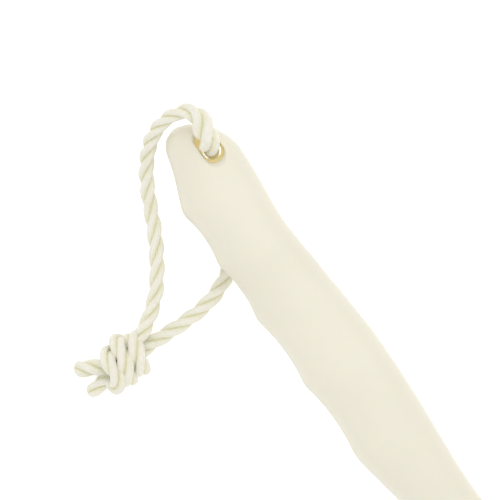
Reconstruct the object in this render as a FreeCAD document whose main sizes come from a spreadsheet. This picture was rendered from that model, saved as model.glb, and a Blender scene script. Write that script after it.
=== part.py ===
import FreeCAD, Part
import math
import os
import Sketcher

from FreeCAD import Placement, Rotation, Vector

# Long-handled loofah back scrubber, lying on its side on a table.
#
# Each rigid piece is drawn in the handle's own frame: x runs from the tip of the handle
# to the far end of the head, y points to the back of the grip (the pad faces -y), and
# z = 0 is the plane where the two halves of the handle meet. One placement then lays the
# scrubber on its side. The hanging cord is drawn where it lies, in the part's frame.

DIMENSIONS = {
    # handle
    "wall": 2.2,
    "rib_thickness": 1.6,
    "cavity_start": 20.0,
    "cavity_end": 262.0,
    "tang_end": 316.0,
    "tang_middle": 14.5,
    "tang_half": 8.0,
    "pin_radius": 1.4,
    "pin_length": 4.0,
    "pin_clearance": 0.1,
    "boss_radius": 3.2,
    "boss_height": 14.0,
    # slot for the hanging cord, through the tip
    "slot_axis_x": 12.0,
    "slot_axis_y": 18.0,
    "slot_middle_x": 11.2,
    "slot_half_length": 5.4,
    "slot_half_width": 3.2,
    "throat_half_length": 3.2,
    "throat_half_width": 2.9,
    "tip_half_thickness": 7.8,
    # head: an oval of four arcs
    "head_middle_x": 338.0,
    "head_half_length": 62.0,
    "head_half_width": 34.0,
    "head_end_radius": 28.0,
    "tray_back_y": 6.0,
    "tray_depth": 12.0,
    "tray_floor": 2.5,
    "tray_wall": 2.4,
    "tray_back_round": 1.6,
    "socket_start": 266.0,
    "socket_end": 324.0,
    "socket_half_width": 11.0,
    "socket_height": 19.5,
    "socket_clearance": 0.2,
    "socket_round": 2.4,
    "board_thickness": 3.0,
    "board_clearance": 0.4,
    "foam_thickness": 10.0,
    "foam_clearance": 0.6,
    "loofah_thickness": 11.4,
    "tape_thickness": 0.8,
    "tape_lip": 8.6,
    "tape_inset": 0.4,
    "tape_side": 2.2,
    "tape_round": 2.5,
    "stitch_setback": 2.4,
    "thread_width": 0.8,
    "layer_gap": 0.1,
    # self-tapping screws, from inside the tray into the tang
    "screw_radius": 1.3,
    "screw_hole_radius": 1.6,
    "screw_head_radius": 2.8,
    "screw_head_height": 1.6,
    "screw_length": 12.5,
    "screw_first_x": 284.0,
    "screw_pitch_x": 20.0,
    "screw_side_z": 4.5,
    # how the scrubber lies, and its cord
    "lying_x": -187.5,
    "lying_y": 16.4,
    "lying_z": 13.46,
    "cord_diameter": 5.0,
    "knot_radius": 9.5,
    "knot_height": 13.0,
    "knot_round": 6.0,
    "tail_radius": 2.5,
}

doc = FreeCAD.newDocument("LoofahBackScrubber")
sheet = doc.addObject("Spreadsheet::Sheet", "Dimensions")
for row, (alias, value) in enumerate(DIMENSIONS.items(), start=1):
    sheet.set(f"A{row}", alias)
    sheet.set(f"B{row}", str(value))
    sheet.setAlias(f"B{row}", alias)
doc.recompute()


def dim(alias):
    """Value of one driving dimension, in millimetres."""
    return float(sheet.get(alias))


# ---------------------------------------------------------------- how the scrubber lies

# The head rests on the side of its tray and the tip rests on the cord, so the handle
# slopes. The slot's axis keeps its place and the slope follows from the two heights.
rise = dim("head_half_width") - dim("lying_z")
run = dim("head_middle_x") - dim("slot_axis_x")
slope = math.degrees(math.asin(rise / run))
slot_point = Vector(dim("slot_axis_x"), dim("slot_axis_y"), 0)
lying_point = Vector(dim("lying_x"), dim("lying_y"), dim("lying_z"))
lying_turn = Rotation(Vector(0, 1, 0), -slope)
lying = Placement(lying_point - lying_turn.multVec(slot_point), lying_turn)

SUB_PARTS = []


def hand_over(obj, label, placement=lying):
    """Name one finished sub-part and lay it where it belongs."""
    obj.Label = label
    obj.Placement = placement
    SUB_PARTS.append(obj)
    return obj


# ---------------------------------------------------------------- outline of the handle

# Crests of the finger waves on the grip's front edge: distance from the tip, and y.
CRESTS = [(24.1, -1.0), (43.2, -1.1), (64.1, -1.1), (89.1, -0.7), (115.0, -0.3)]
WAVE_DEPTH = 1.4
CREST_ROUNDING = 1.8
FRONT_TIP = [(0.0, 7.7), (5.4, 5.7), (11.0, 4.1), (16.6, 1.9), (20.4, 0.3), CRESTS[0]]
FRONT_NECK = [
    CRESTS[-1],
    (120.0, 0.1),
    (125.0, 1.0),
    (131.0, 2.1),
    (140.0, 3.5),
    (160.0, 6.0),
    (180.0, 8.2),
    (200.0, 9.3),
    (230.0, 9.2),
    (250.0, 7.9),
    (262.0, 6.5),
]
BACK = [
    (0.0, 25.7),
    (20.0, 25.7),
    (30.0, 24.9),
    (43.0, 23.8),
    (60.0, 24.9),
    (76.0, 26.0),
    (90.0, 26.7),
    (110.0, 26.1),
    (125.0, 25.0),
    (140.0, 24.0),
    (160.0, 24.3),
    (180.0, 25.4),
    (200.0, 26.0),
    (230.0, 25.4),
    (250.0, 23.8),
    (262.0, 22.5),
]
HALF_THICKNESS = [
    (0.0, 7.6),
    (12.0, 7.8),
    (20.0, 8.1),
    (35.0, 8.8),
    (60.0, 9.4),
    (88.0, 10.0),
    (115.0, 9.6),
    (140.0, 8.8),
    (170.0, 8.1),
    (200.0, 7.8),
    (240.0, 7.9),
    (262.0, 8.0),
]
TIP_MIDDLE_Y = 12.5


def smooth(points, x):
    """Value at x of a smooth curve through points, level past both ends."""
    if x <= points[0][0]:
        return points[0][1]
    for i in range(len(points) - 1):
        (x0, y0), (x1, y1) = points[i], points[i + 1]
        if x <= x1:
            before = points[max(i - 1, 0)]
            after = points[min(i + 2, len(points) - 1)]
            slope_0 = (y1 - before[1]) / (x1 - before[0])
            slope_1 = (after[1] - y0) / (after[0] - x0)
            u = (x - x0) / (x1 - x0)
            hermite = (1 + 2 * u) * (1 - u) ** 2 * y0 + u * u * (3 - 2 * u) * y1
            turn = u * (1 - u) ** 2 * slope_0 - u * u * (1 - u) * slope_1
            return hermite + (x1 - x0) * turn
    return points[-1][1]


def closing(x, length, power):
    """0 at the tip, 1 from length on: how far the outline has opened at x."""
    if x >= length:
        return 1.0
    return (1 - (1 - x / length) ** power) ** (1 / power)


def sharp_front_y(x):
    """Front edge with a hollow between each two crests, before the crests are rounded."""
    if x < CRESTS[0][0]:
        return smooth(FRONT_TIP, x)
    for (x0, y0), (x1, y1) in zip(CRESTS, CRESTS[1:]):
        if x <= x1:
            u = (x - x0) / (x1 - x0)
            return y0 + (y1 - y0) * u + WAVE_DEPTH * (1 - abs(2 * u - 1) ** 2.2)
    return smooth(FRONT_NECK, x)


def front_y(x):
    reach = min(CREST_ROUNDING, x / 2)
    both_sides = sharp_front_y(x - reach) + sharp_front_y(x + reach)
    rounded = (both_sides + 2 * sharp_front_y(x)) / 4
    return TIP_MIDDLE_Y + (rounded - TIP_MIDDLE_Y) * closing(x, 5.0, 2.5)


def back_y(x):
    return TIP_MIDDLE_Y + (smooth(BACK, x) - TIP_MIDDLE_Y) * closing(x, 16.0, 1.7)


def half_thickness(x):
    return smooth(HALF_THICKNESS, x) * closing(x, 7.0, 2.2)


def section_power(x, grip_power):
    """Squareness of the cross-section: rounded along the grip, square at the tang."""
    tang_power = 4.5
    mix = min(max((x - 235.0) / 27.0, 0.0), 1.0)
    return grip_power + (tang_power - grip_power) * mix


def half_section_points(x, inset, steps):
    """Points round the upper half of the handle's section at x, inset by a wall."""
    front = front_y(x) + inset
    back = back_y(x) - inset
    height = half_thickness(x) - inset
    middle, half = (front + back) / 2, (back - front) / 2
    points = []
    for i in range(steps + 1):
        angle = math.pi * i / steps
        power = section_power(x, 2.9 if angle < math.pi / 2 else 2.3)
        across = math.copysign(abs(math.cos(angle)) ** (2 / power), math.cos(angle))
        up = abs(math.sin(angle)) ** (2 / power)
        points.append(Vector(x, middle + half * across, height * up))
    points[0].z = 0
    points[-1].z = 0
    return points


def half_section(x):
    """Closed wire of the handle's upper half at x."""
    points = half_section_points(x, 0.0, 14)
    curve = Part.BSplineCurve()
    curve.interpolate(
        Points=points, InitialTangent=Vector(0, 0, 1), FinalTangent=Vector(0, 0, -1)
    )
    return Part.Wire([curve.toShape(), Part.LineSegment(points[-1], points[0]).toShape()])


def spaced(start, end, step):
    count = max(1, round((end - start) / step))
    return [start + (end - start) * i / count for i in range(count + 1)]


tip_stations = [0.2, 1.0, 2.4, 4.4, 7.0, 10.0, 13.0, 16.0, 19.0, 21.8]
grip_stations = [CRESTS[0][0]]
for (x0, _), (x1, _) in zip(CRESTS, CRESTS[1:]):
    grip_stations += spaced(x0, x1, 3.2)[1:]
neck_stations = spaced(CRESTS[-1][0], dim("cavity_end"), 6.0)[1:]
tang_stations = spaced(dim("cavity_end"), dim("tang_end"), 6.0)[1:]
outer_stations = tip_stations + grip_stations + neck_stations + tang_stations


half_form = doc.addObject("Part::Feature", "HalfForm")
half_form.Shape = Part.makeLoft([half_section(x) for x in outer_stations], True, False)


# ---------------------------------------------------------------- slot through the tip

def rounded_slot_wire(x_low, x_high, y_low, y_high, z):
    """Slot outline with round ends, at height z."""
    radius = (y_high - y_low) / 2
    middle = (y_high + y_low) / 2
    left, right = x_low + radius, x_high - radius
    far = Vector(x_high, middle, z)
    near = Vector(x_low, middle, z)
    low_left, low_right = Vector(left, y_low, z), Vector(right, y_low, z)
    high_left, high_right = Vector(left, y_high, z), Vector(right, y_high, z)
    edges = [
        Part.LineSegment(low_left, low_right).toShape(),
        Part.Arc(low_right, far, high_right).toShape(),
        Part.LineSegment(high_right, high_left).toShape(),
        Part.Arc(high_left, near, low_left).toShape(),
    ]
    return Part.Wire(edges)


def slot_flare_wire(lift, flare, opening, lips):
    """Slot outline at a height above the start of the flare, opened by each lip's share."""
    tip_lip, head_lip, front_lip, back_lip = lips
    middle_x, half_length, half_width = opening
    middle_y = dim("slot_axis_y")
    return rounded_slot_wire(
        middle_x - half_length - tip_lip * flare,
        middle_x + half_length + head_lip * flare,
        middle_y - half_width - front_lip * flare,
        middle_y + half_width + back_lip * flare,
        lift,
    )


def slot_tool(name, opening, lips, depth):
    """Cutter for one shell's side of the cord slot, with a rounded lip at its mouth."""
    top = dim("tip_half_thickness")
    straight = Part.Face(slot_flare_wire(-1, 0, opening, lips)).extrude(Vector(0, 0, top - depth + 1.2))
    wires = []
    for degrees in (0, 30, 55, 80):
        angle = math.radians(degrees)
        lift = top - depth + depth * math.sin(angle)
        wires.append(slot_flare_wire(lift, 1 - math.cos(angle), opening, lips))
    flare = Part.makeLoft(wires, True, False)
    above = Part.Face(wires[-1]).extrude(Vector(0, 0, 4))
    obj = doc.addObject("Part::Feature", name)
    obj.Shape = straight.fuse([flare, above])
    return obj


# Lips, as growth of the mouth at the tip, head, front and back sides, and lip depth.
# The lower shell's opening is a close throat that keeps the cord upright.
wide_opening = (dim("slot_middle_x"), dim("slot_half_length"), dim("slot_half_width"))
throat = (dim("slot_axis_x"), dim("throat_half_length"), dim("throat_half_width"))
upper_slot = slot_tool("UpperSlot", wide_opening, (2.2, 2.6, 0.5, 1.6), 2.6)
lower_slot = slot_tool("LowerSlot", throat, (4.4, 4.4, 3.2, 2.0), 2.6)


# ---------------------------------------------------------------- the two handle shells

RIB_STATIONS = [46.0, 70.0, 95.0, 120.0, 150.0, 180.0, 210.0, 238.0]
PIN_STATIONS = [33.0, 82.0, 135.0, 195.0, 250.0]


def primitive(kind, name, at, expressions, **sizes):
    """A box or cylinder whose driving sizes are bound to the sheet."""
    obj = doc.addObject(kind, name)
    for key, value in sizes.items():
        setattr(obj, key, value)
    for key, expression in expressions.items():
        obj.setExpression(key, expression)
    obj.Placement = at
    return obj


def joined(name, objects):
    obj = doc.addObject("Part::MultiFuse", name)
    obj.Shapes = objects
    return obj


def cut(name, base, tool):
    obj = doc.addObject("Part::Cut", name)
    obj.Base = base
    obj.Tool = tool
    return obj


def pin_row(name, radius_expression, length_expression, start):
    """One cylinder at each pin station, standing on z = start."""
    pins = []
    for number, x in enumerate(PIN_STATIONS, start=1):
        at = Vector(x, (front_y(x) + back_y(x)) / 2, start)
        sizes = {"Radius": radius_expression, "Height": length_expression}
        pins.append(primitive("Part::Cylinder", f"{name}{number}", Placement(at, Rotation()), sizes))
    return pins


def chambers():
    """The hollows of one half, one between each two ribs, with flat-faced walls."""
    hollows = []
    half_rib = dim("rib_thickness") / 2
    walls = [dim("cavity_start") - half_rib] + RIB_STATIONS + [dim("cavity_end") + half_rib]
    for number, (before, after) in enumerate(zip(walls, walls[1:]), start=1):
        sections = []
        for x in (before + half_rib, after - half_rib):
            points = half_section_points(x, dim("wall") + WAVE_DEPTH / 2, 8)
            sections.append(Part.makePolygon(points + points[:1]))
        hollow = doc.addObject("Part::Feature", f"Chamber{number}")
        hollow.Shape = Part.makeLoft(sections, True, True)
        hollows.append(hollow)
    return hollows


def screw_places(z_sides):
    """x and z of the screws that hold the head to the tang."""
    places = []
    for step in range(2):
        for side in z_sides:
            x = dim("screw_first_x") + step * dim("screw_pitch_x")
            places.append((x, side * dim("screw_side_z")))
    return places


def screw_bores():
    """Pilot bores for one half's two screws, up into the tang."""
    bores = []
    for number, (x, z) in enumerate(screw_places([1]), start=1):
        at = Placement(Vector(x, 4, z), Rotation(Vector(1, 0, 0), -90))
        size = {"Radius": "Dimensions.screw_radius + 0.05"}
        bores.append(primitive("Part::Cylinder", f"Bore{number}", at, size, Height=13))
    return bores


bosses = joined("Bosses", pin_row("Boss", "Dimensions.boss_radius", "Dimensions.boss_height", -1))
half_chambers = cut("HalfChambers", joined("Chambers", chambers()), bosses)
hollow_half = cut("HollowHalf", half_form, half_chambers)
bored_half = cut("BoredHalf", hollow_half, joined("Bores", screw_bores()))

upper_slotted = cut("UpperSlotted", bored_half, upper_slot)
pins = pin_row("Pin", "Dimensions.pin_radius", "Dimensions.pin_length + 2", -dim("pin_length"))
upper_shell = joined("UpperShell", [upper_slotted] + pins)
hand_over(upper_shell, "handle_shell_upper")

lower_slotted = cut("LowerSlotted", bored_half, lower_slot)
socket_radius = "Dimensions.pin_radius + Dimensions.pin_clearance"
sockets = pin_row("Socket", socket_radius, "Dimensions.pin_length + 1.4", -1)
lower_half = cut("LowerHalf", lower_slotted, joined("Sockets", sockets))
lower_shell = doc.addObject("Part::Mirroring", "LowerShell")
lower_shell.Source = lower_half
lower_shell.Normal = Vector(0, 0, 1)
# The mirrored half keeps its place in its own shape, so a compound carries it.
lower_group = doc.addObject("Part::Compound", "LowerGroup")
lower_group.Links = [lower_shell]
hand_over(lower_group, "handle_shell_lower")


# ---------------------------------------------------------------- head: ovals in layers

END_CENTRE = "(Dimensions.head_half_length - Dimensions.head_end_radius)"
SIDE_RADIUS = (
    f"(({END_CENTRE}^2 + Dimensions.head_half_width^2 - Dimensions.head_end_radius^2)"
    " / (2 * (Dimensions.head_half_width - Dimensions.head_end_radius)))"
)


def side_radius():
    centre = dim("head_half_length") - dim("head_end_radius")
    wide, end = dim("head_half_width"), dim("head_end_radius")
    return (centre**2 + wide**2 - end**2) / (2 * (wide - end))


def plane_of(body, role):
    for feature in body.Origin.OriginFeatures:
        if feature.Role == role:
            return feature
    raise ValueError(f"no origin plane {role}")


def new_body(name):
    return doc.addObject("PartDesign::Body", name)


def sketch_at(body, name, role, offset):
    """Empty sketch parallel to one of the body's origin planes, offset along its normal."""
    sketch = body.newObject("Sketcher::SketchObject", name)
    sketch.AttachmentSupport = (plane_of(body, role), [""])
    sketch.MapMode = "FlatFace"
    sketch.AttachmentOffset = offset
    return sketch


def facing_pad(y):
    """Offset of a sketch on the xz plane that lies at y, centred on the head."""
    return Placement(Vector(dim("head_middle_x"), 0, -y), Rotation())


def oval_sketch(body, name, y, inset):
    """Oval of four arcs that touch, inset from the tray's outline."""
    sketch = sketch_at(body, name, "XZ_Plane", facing_pad(y))
    end_centre = dim("head_half_length") - dim("head_end_radius")
    end_radius = dim("head_end_radius") - inset
    long_radius = side_radius() - inset
    side_centre = side_radius() - dim("head_half_width")
    lean = math.atan2(side_centre, end_centre)
    up = Vector(0, 0, 1)
    arcs = [
        (Vector(end_centre, 0, 0), end_radius, -lean, lean),
        (Vector(0, -side_centre, 0), long_radius, lean, math.pi - lean),
        (Vector(-end_centre, 0, 0), end_radius, math.pi - lean, math.pi + lean),
        (Vector(0, side_centre, 0), long_radius, math.pi + lean, 2 * math.pi - lean),
    ]
    for centre, radius, start, end in arcs:
        sketch.addGeometry(Part.ArcOfCircle(Part.Circle(centre, up, radius), start, end))
    constraint = Sketcher.Constraint
    for index in range(4):
        sketch.addConstraint(constraint("Tangent", index, 2, (index + 1) % 4, 1))
    for index, sign in ((0, 1), (2, -1)):
        sketch.addConstraint(constraint("PointOnObject", index, 3, -1))
        place = sketch.addConstraint(constraint("DistanceX", -1, 1, index, 3, sign * end_centre))
        sketch.setExpression(f"Constraints[{place}]", f"{sign} * {END_CENTRE}")
        size = sketch.addConstraint(constraint("Radius", index, end_radius))
        sketch.setExpression(f"Constraints[{size}]", f"Dimensions.head_end_radius - {inset}")
    for index in (1, 3):
        size = sketch.addConstraint(constraint("Radius", index, long_radius))
        sketch.setExpression(f"Constraints[{size}]", f"{SIDE_RADIUS} - {inset}")
    return sketch


def pad(body, name, sketch, length, reverse=False):
    feature = body.newObject("PartDesign::Pad", name)
    feature.Profile = sketch
    feature.setExpression("Length", length)
    feature.Reversed = reverse
    return feature


def pocket(body, name, sketch, length, reverse=False):
    feature = body.newObject("PartDesign::Pocket", name)
    feature.Profile = sketch
    feature.setExpression("Length", length)
    feature.Reversed = reverse
    return feature


def fillet(body, name, base, radius, wanted):
    """Round the edges of base that wanted picks out."""
    doc.recompute()
    edges = []
    for number, edge in enumerate(base.Shape.Edges, start=1):
        if wanted(edge):
            edges.append(f"Edge{number}")
    feature = body.newObject("PartDesign::Fillet", name)
    feature.Base = (base, edges)
    feature.setExpression("Radius", radius)
    return feature


def oval_slab(name, y, inset, thickness):
    """A plain oval layer of the head, from y towards the pad's face."""
    body = new_body(name)
    sketch = oval_sketch(body, f"{name}Outline", y, inset)
    pad(body, f"{name}Pad", sketch, thickness)
    return body


def flat_at(edge, y):
    box = edge.BoundBox
    return abs(box.YMin - y) < 1e-4 and abs(box.YMax - y) < 1e-4


# Tray: a shallow oval dish with a socket on its back for the handle's tang.
tray = new_body("Tray")
outline = oval_sketch(tray, "TrayOutline", dim("tray_back_y"), 0)
dish = pad(tray, "TrayDish", outline, "Dimensions.tray_depth")
fillet(
    tray,
    "TrayBackEdge",
    dish,
    "Dimensions.tray_back_round",
    lambda edge: flat_at(edge, dim("tray_back_y")),
)
well_outline = oval_sketch(
    tray, "TrayWellOutline", dim("tray_back_y") - dim("tray_depth"), dim("tray_wall")
)
pocket(tray, "TrayWell", well_outline, "Dimensions.tray_depth - Dimensions.tray_floor")


def rectangle(sketch, x_low, x_high, y_low, y_high):
    """Axis-aligned rectangle, held by distances from the sketch's own axes."""
    corners = [(x_low, y_low), (x_high, y_low), (x_high, y_high), (x_low, y_high)]
    for (x0, y0), (x1, y1) in zip(corners, corners[1:] + corners[:1]):
        sketch.addGeometry(Part.LineSegment(Vector(x0, y0, 0), Vector(x1, y1, 0)))
    for index in range(4):
        sketch.addConstraint(Sketcher.Constraint("Coincident", index, 2, (index + 1) % 4, 1))
    for index in (0, 2):
        sketch.addConstraint(Sketcher.Constraint("Horizontal", index))
        sketch.addConstraint(Sketcher.Constraint("Vertical", index + 1))
    sketch.addConstraint(Sketcher.Constraint("DistanceX", -1, 1, 0, 1, x_low))
    sketch.addConstraint(Sketcher.Constraint("DistanceY", -1, 1, 0, 1, y_low))
    sketch.addConstraint(Sketcher.Constraint("DistanceX", -1, 1, 2, 1, x_high))
    sketch.addConstraint(Sketcher.Constraint("DistanceY", -1, 1, 2, 1, y_high))


socket_sketch = sketch_at(
    tray, "SocketOutline", "XZ_Plane", Placement(Vector(0, 0, -dim("tray_back_y") + 1), Rotation())
)
socket_side = dim("socket_half_width")
rectangle(socket_sketch, dim("socket_start"), dim("socket_end"), -socket_side, socket_side)
socket_block = pad(tray, "SocketBlock", socket_sketch, "Dimensions.socket_height + 1", True)
socket_top = dim("tray_back_y") + dim("socket_height")
fillet(
    tray,
    "SocketEdges",
    socket_block,
    "Dimensions.socket_round",
    lambda edge: edge.BoundBox.YMax > socket_top - 1e-4,
)
bore_sketch = sketch_at(
    tray, "SocketBoreOutline", "YZ_Plane", Placement(Vector(0, 0, dim("socket_start")), Rotation())
)
bore_half = dim("tang_half") + dim("socket_clearance")
tang_y = dim("tang_middle")
rectangle(bore_sketch, tang_y - bore_half, tang_y + bore_half, -bore_half, bore_half)
pocket(
    tray,
    "SocketBore",
    bore_sketch,
    "Dimensions.tang_end - Dimensions.socket_start + 0.5",
    True,
)


def screw_circles(body, name, y, radius_expression):
    """Four circles on the screws' axes, on a sketch that lies at y."""
    at = Placement(Vector(0, 0, -y), Rotation())
    sketch = sketch_at(body, name, "XZ_Plane", at)
    for index, (x, z) in enumerate(screw_places([1, -1])):
        circle = Part.Circle(Vector(x, z, 0), Vector(0, 0, 1), 1)
        sketch.addGeometry(circle)
        sketch.addConstraint(Sketcher.Constraint("DistanceX", -1, 1, index, 3, x))
        sketch.addConstraint(Sketcher.Constraint("DistanceY", -1, 1, index, 3, z))
        size = sketch.addConstraint(Sketcher.Constraint("Radius", index, 1))
        sketch.setExpression(f"Constraints[{size}]", radius_expression)
    return sketch


floor_y = dim("tray_back_y") - dim("tray_floor")
screw_holes = screw_circles(tray, "TrayScrewCircles", floor_y, "Dimensions.screw_hole_radius")
pocket(tray, "TrayScrewHoles", screw_holes, "Dimensions.tray_floor + 1")
hand_over(tray, "head_tray")

# Screws: one node of four equal pan-head screws.
screws = []
for number, (x, z) in enumerate(screw_places([1, -1]), start=1):
    upwards = Rotation(Vector(1, 0, 0), -90)
    shank_at = Placement(Vector(x, floor_y - 0.5, z), upwards)
    shank = primitive(
        "Part::Cylinder",
        f"Shank{number}",
        shank_at,
        {"Radius": "Dimensions.screw_radius", "Height": "Dimensions.screw_length"},
    )
    head_at = Placement(Vector(x, floor_y - dim("screw_head_height"), z), upwards)
    head = primitive(
        "Part::Cylinder",
        f"PanHead{number}",
        head_at,
        {"Radius": "Dimensions.screw_head_radius", "Height": "Dimensions.screw_head_height"},
    )
    screws.append(joined(f"Screw{number}", [shank, head]))
screw_group = doc.addObject("Part::Compound", "Screws")
screw_group.Links = screws
hand_over(screw_group, "tang_screws")

# Backing board, with room for the screws' heads.
gap = dim("layer_gap")
board_y = floor_y - gap
board = oval_slab("Board", board_y, dim("tray_wall") + dim("board_clearance"), "Dimensions.board_thickness")
board_hole = "Dimensions.screw_head_radius + Dimensions.board_clearance"
board_circles = screw_circles(board, "BoardCircles", board_y, board_hole)
pocket(board, "BoardHoles", board_circles, "Dimensions.board_thickness", True)
hand_over(board, "backing_board")

foam_y = board_y - dim("board_thickness") - gap
foam = oval_slab("Foam", foam_y, dim("tray_wall") + dim("foam_clearance"), "Dimensions.foam_thickness")
hand_over(foam, "foam_core")

# Loofah pad, with a cotton tape folded round its edge and stitched through.
tape_y = foam_y - dim("foam_thickness") - gap
loofah_y = tape_y - dim("tape_thickness")
loofah_inset = dim("tape_inset") + dim("tape_side")
loofah = oval_slab(
    "Loofah",
    loofah_y - gap,
    loofah_inset + gap,
    "Dimensions.loofah_thickness - 2 * Dimensions.layer_gap",
)
hand_over(loofah, "loofah_pad")

tape_outer = oval_slab(
    "TapeOuter",
    tape_y,
    dim("tape_inset"),
    "Dimensions.loofah_thickness + 2 * Dimensions.tape_thickness",
)
fillet(
    tape_outer,
    "TapeRounding",
    tape_outer.Tip,
    "Dimensions.tape_round",
    lambda edge: edge.BoundBox.YLength < 1e-4,
)
tape_window = oval_slab(
    "TapeWindow", tape_y + 1, dim("tape_inset") + dim("tape_lip"), "Dimensions.loofah_thickness + 4"
)
tape_fold = oval_slab("TapeFold", loofah_y, loofah_inset, "Dimensions.loofah_thickness")
tape_ring = cut("TapeRing", tape_outer, tape_window)
tape = cut("Tape", tape_ring, tape_fold)
hand_over(tape, "edge_binding")

# Lockstitch thread, one ring on the face of the tape.
thread_y = loofah_y - dim("loofah_thickness") - dim("tape_thickness") - 0.02
thread_inset = dim("tape_inset") + dim("tape_lip") - dim("stitch_setback")
thread = new_body("Thread")
thread_outline = oval_sketch(thread, "ThreadOutline", thread_y, thread_inset)
pad(thread, "ThreadRing", thread_outline, "Dimensions.thread_width")
thread_inner = oval_sketch(
    thread, "ThreadInner", thread_y - dim("thread_width"), thread_inset + dim("thread_width")
)
pocket(thread, "ThreadOpening", thread_inner, "Dimensions.thread_width")
hand_over(thread, "binding_thread")


# ---------------------------------------------------------------- hanging cord and knot

# Route of the cord, chosen by hand, from the knot under the handle, up through the slot,
# over the tip and back to the knot.
CORD_ROUTE = [
    (-148.5, -41.2, 2.5),
    (-148.9, -35.8, 2.5),
    (-148.1, -24.0, 2.5),
    (-148.5, -11.8, 2.5),
    (-153.1, -0.6, 2.5),
    (-163.5, 7.2, 2.5),
    (-175.2, 10.6, 2.5),
    (-187.5, 16.4, 2.5),
    (-187.5, 16.4, 26.1),
    (-200.0, 20.4, 26.6),
    (-204.2, 12.6, 22.4),
    (-202.0, 3.6, 14.8),
    (-195.7, -3.4, 7.0),
    (-187.7, -8.2, 2.5),
    (-177.8, -12.6, 2.5),
    (-167.3, -18.8, 2.5),
    (-159.1, -25.4, 3.2),
    (-152.9, -34.4, 6.2),
    (-150.7, -41.2, 8.4),
]


def tube(points, radius, label):
    """Tube along straight runs joined by arcs, each as large as its two runs allow."""
    points = [Vector(*point) for point in points]
    edges = []
    length = 0
    start = points[0]
    for i in range(1, len(points) - 1):
        arriving, leaving = points[i] - points[i - 1], points[i + 1] - points[i]
        turn = arriving.getAngle(leaving)
        bend = 0.45 * min(arriving.Length, leaving.Length) / math.tan(turn / 2)
        print(f"{label} bend {i}: radius {bend:.1f}, turn {math.degrees(turn):.0f}")
        setback = 0.45 * min(arriving.Length, leaving.Length)
        arriving.normalize()
        leaving.normalize()
        arc_start = points[i] - arriving * setback
        arc_end = points[i] + leaving * setback
        towards = leaving - arriving
        towards.normalize()
        centre = points[i] + towards * (bend / math.cos(turn / 2))
        arc_middle = centre - towards * bend
        edges.append(Part.LineSegment(start, arc_start).toShape())
        edges.append(Part.Arc(arc_start, arc_middle, arc_end).toShape())
        length += (arc_start - start).Length + bend * turn
        start = arc_end
    edges.append(Part.LineSegment(start, points[-1]).toShape())
    length += (points[-1] - start).Length
    path = Part.Wire(edges)
    along = points[1] - points[0]
    profile = Part.Wire([Part.Circle(points[0], along, radius).toShape()])
    shape = path.makePipeShell([profile], True, True)
    expected = math.pi * radius**2 * length
    print(f"{label}: length {length:.1f} mm, volume {shape.Volume / expected:.4f} of section x length")
    return shape


KNOT_MIDDLE = Vector(-148.1, -43.6, 0)
flat = Placement()


def knot_form(name):
    """The knot's outer form: a round cake with well rounded edges."""
    cake = primitive(
        "Part::Cylinder",
        f"{name}Cake",
        Placement(KNOT_MIDDLE, Rotation()),
        {"Radius": "Dimensions.knot_radius", "Height": "Dimensions.knot_height"},
    )
    doc.recompute()
    ball = doc.addObject("Part::Fillet", name)
    ball.Base = cake
    edges = []
    for number, edge in enumerate(cake.Shape.Edges, start=1):
        if edge.BoundBox.ZLength < 1e-4:
            edges.append((number, dim("knot_round"), dim("knot_round")))
    ball.Edges = edges
    return ball


knot = knot_form("Knot")
knot.Label = "cord_knot"
SUB_PARTS.append(knot)


def cord_piece(name, points, radius, label):
    """A tube of the cord, cut back to the face of the knot."""
    core = doc.addObject("Part::Feature", f"{name}Core")
    core.Shape = tube(points, radius, label)
    trimmed = cut(name, core, knot_form(f"{name}KnotFace"))
    hand_over(trimmed, label, flat)


cord_radius = dim("cord_diameter") / 2
cord_piece("Cord", CORD_ROUTE, cord_radius, "hanging_cord")
long_tail = [(-150.4, -47.2, 4.5), (-153.4, -51.8, 3.4), (-156.3, -56.8, 2.6)]
cord_piece("LongTail", long_tail, dim("tail_radius"), "cord_tail_long")
short_tail = [(-147.9, -48.2, 4.0), (-147.9, -53.8, 2.8), (-146.9, -58.8, 2.6)]
cord_piece("ShortTail", short_tail, dim("tail_radius"), "cord_tail_short")


# ---------------------------------------------------------------- check and write

doc.recompute()
for obj in doc.Objects:
    if "Invalid" in obj.State or "Error" in obj.State:
        raise RuntimeError(f"{obj.Name} failed: {obj.State}")
os.makedirs("parts", exist_ok=True)
for obj in SUB_PARTS:
    shape = obj.Shape
    if shape.isNull() or not shape.isValid():
        raise RuntimeError(f"{obj.Label} has no valid shape")
    box = shape.BoundBox
    print(
        f"{obj.Label}: {len(shape.Solids)} solid(s), {shape.Volume:.0f} mm3, "
        f"x {box.XMin:.1f}..{box.XMax:.1f}, y {box.YMin:.1f}..{box.YMax:.1f}, "
        f"z {box.ZMin:.1f}..{box.ZMax:.1f}"
    )
    shape.exportStep(f"parts/{obj.Label}.step")
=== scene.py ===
import math

import bmesh
import bpy
from mathutils import Matrix, Vector
from mathutils import noise as field


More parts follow.
